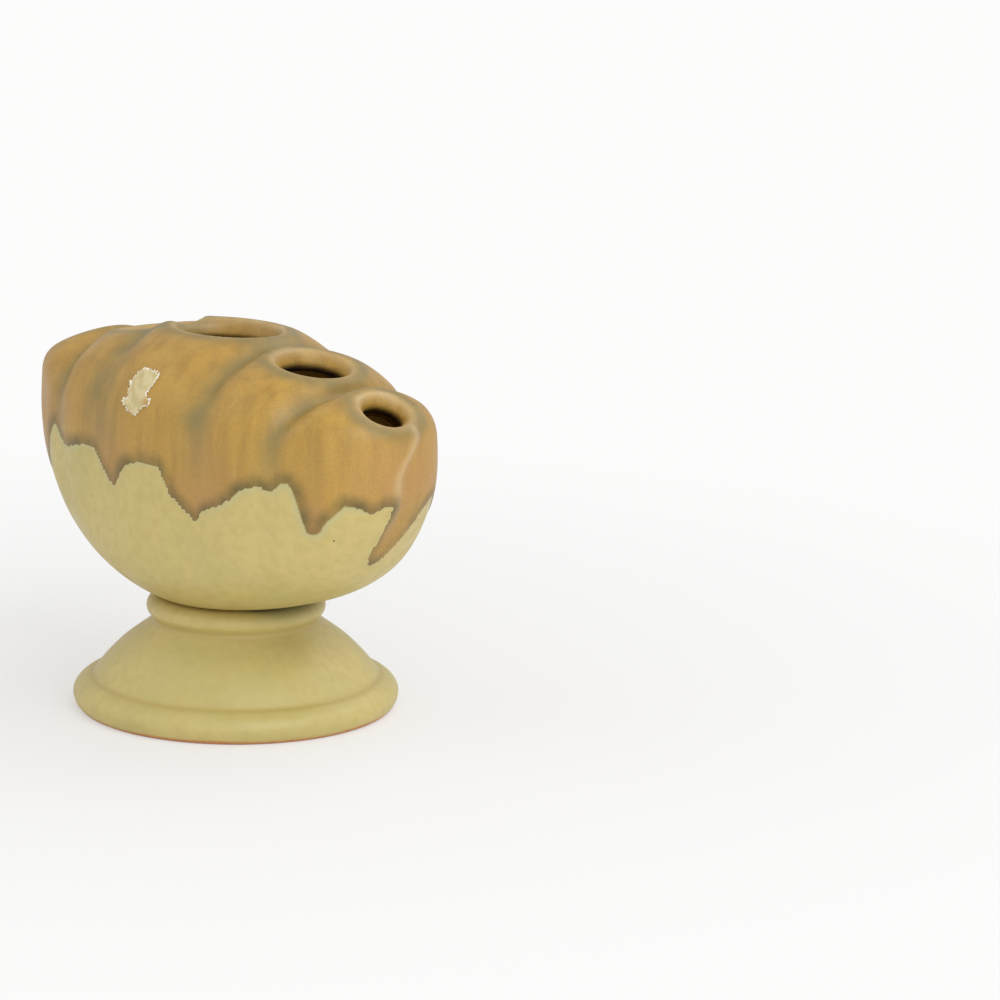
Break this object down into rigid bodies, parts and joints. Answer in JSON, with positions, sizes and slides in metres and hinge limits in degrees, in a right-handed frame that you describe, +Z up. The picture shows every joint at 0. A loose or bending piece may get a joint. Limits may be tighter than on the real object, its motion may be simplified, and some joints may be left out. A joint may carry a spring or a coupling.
{
  "type": "quintal vase",
  "caption": "Footed fan-shaped glazed pottery vase: upright flower holders in a row open into one water bowl on a round moulded foot.",
  "frame": {"origin": "on the floor, on the axis of the foot", "axes": "+Z up; X along the fan of holders, +X the end nearer the viewer's right; front faces -Y"},
  "size_m": [0.208, 0.1308, 0.1535],
  "materials": {
    "glazed_clay": "satin pale yellow-green glaze with an ochre glaze run down over it; bare clay under the foot's ring",
    "label_paper": "torn, yellowed, with dried glue"
  },
  "bodies": {
    "root": {"foot": "glazed_clay", "collar_ring": "glazed_clay", "bowl": "glazed_clay", "finger_far_left": "glazed_clay", "finger_left": "glazed_clay", "finger_centre": "glazed_clay", "finger_right": "glazed_clay", "finger_far_right": "glazed_clay", "paper_label": "label_paper"}
  },
  "joints": []
}
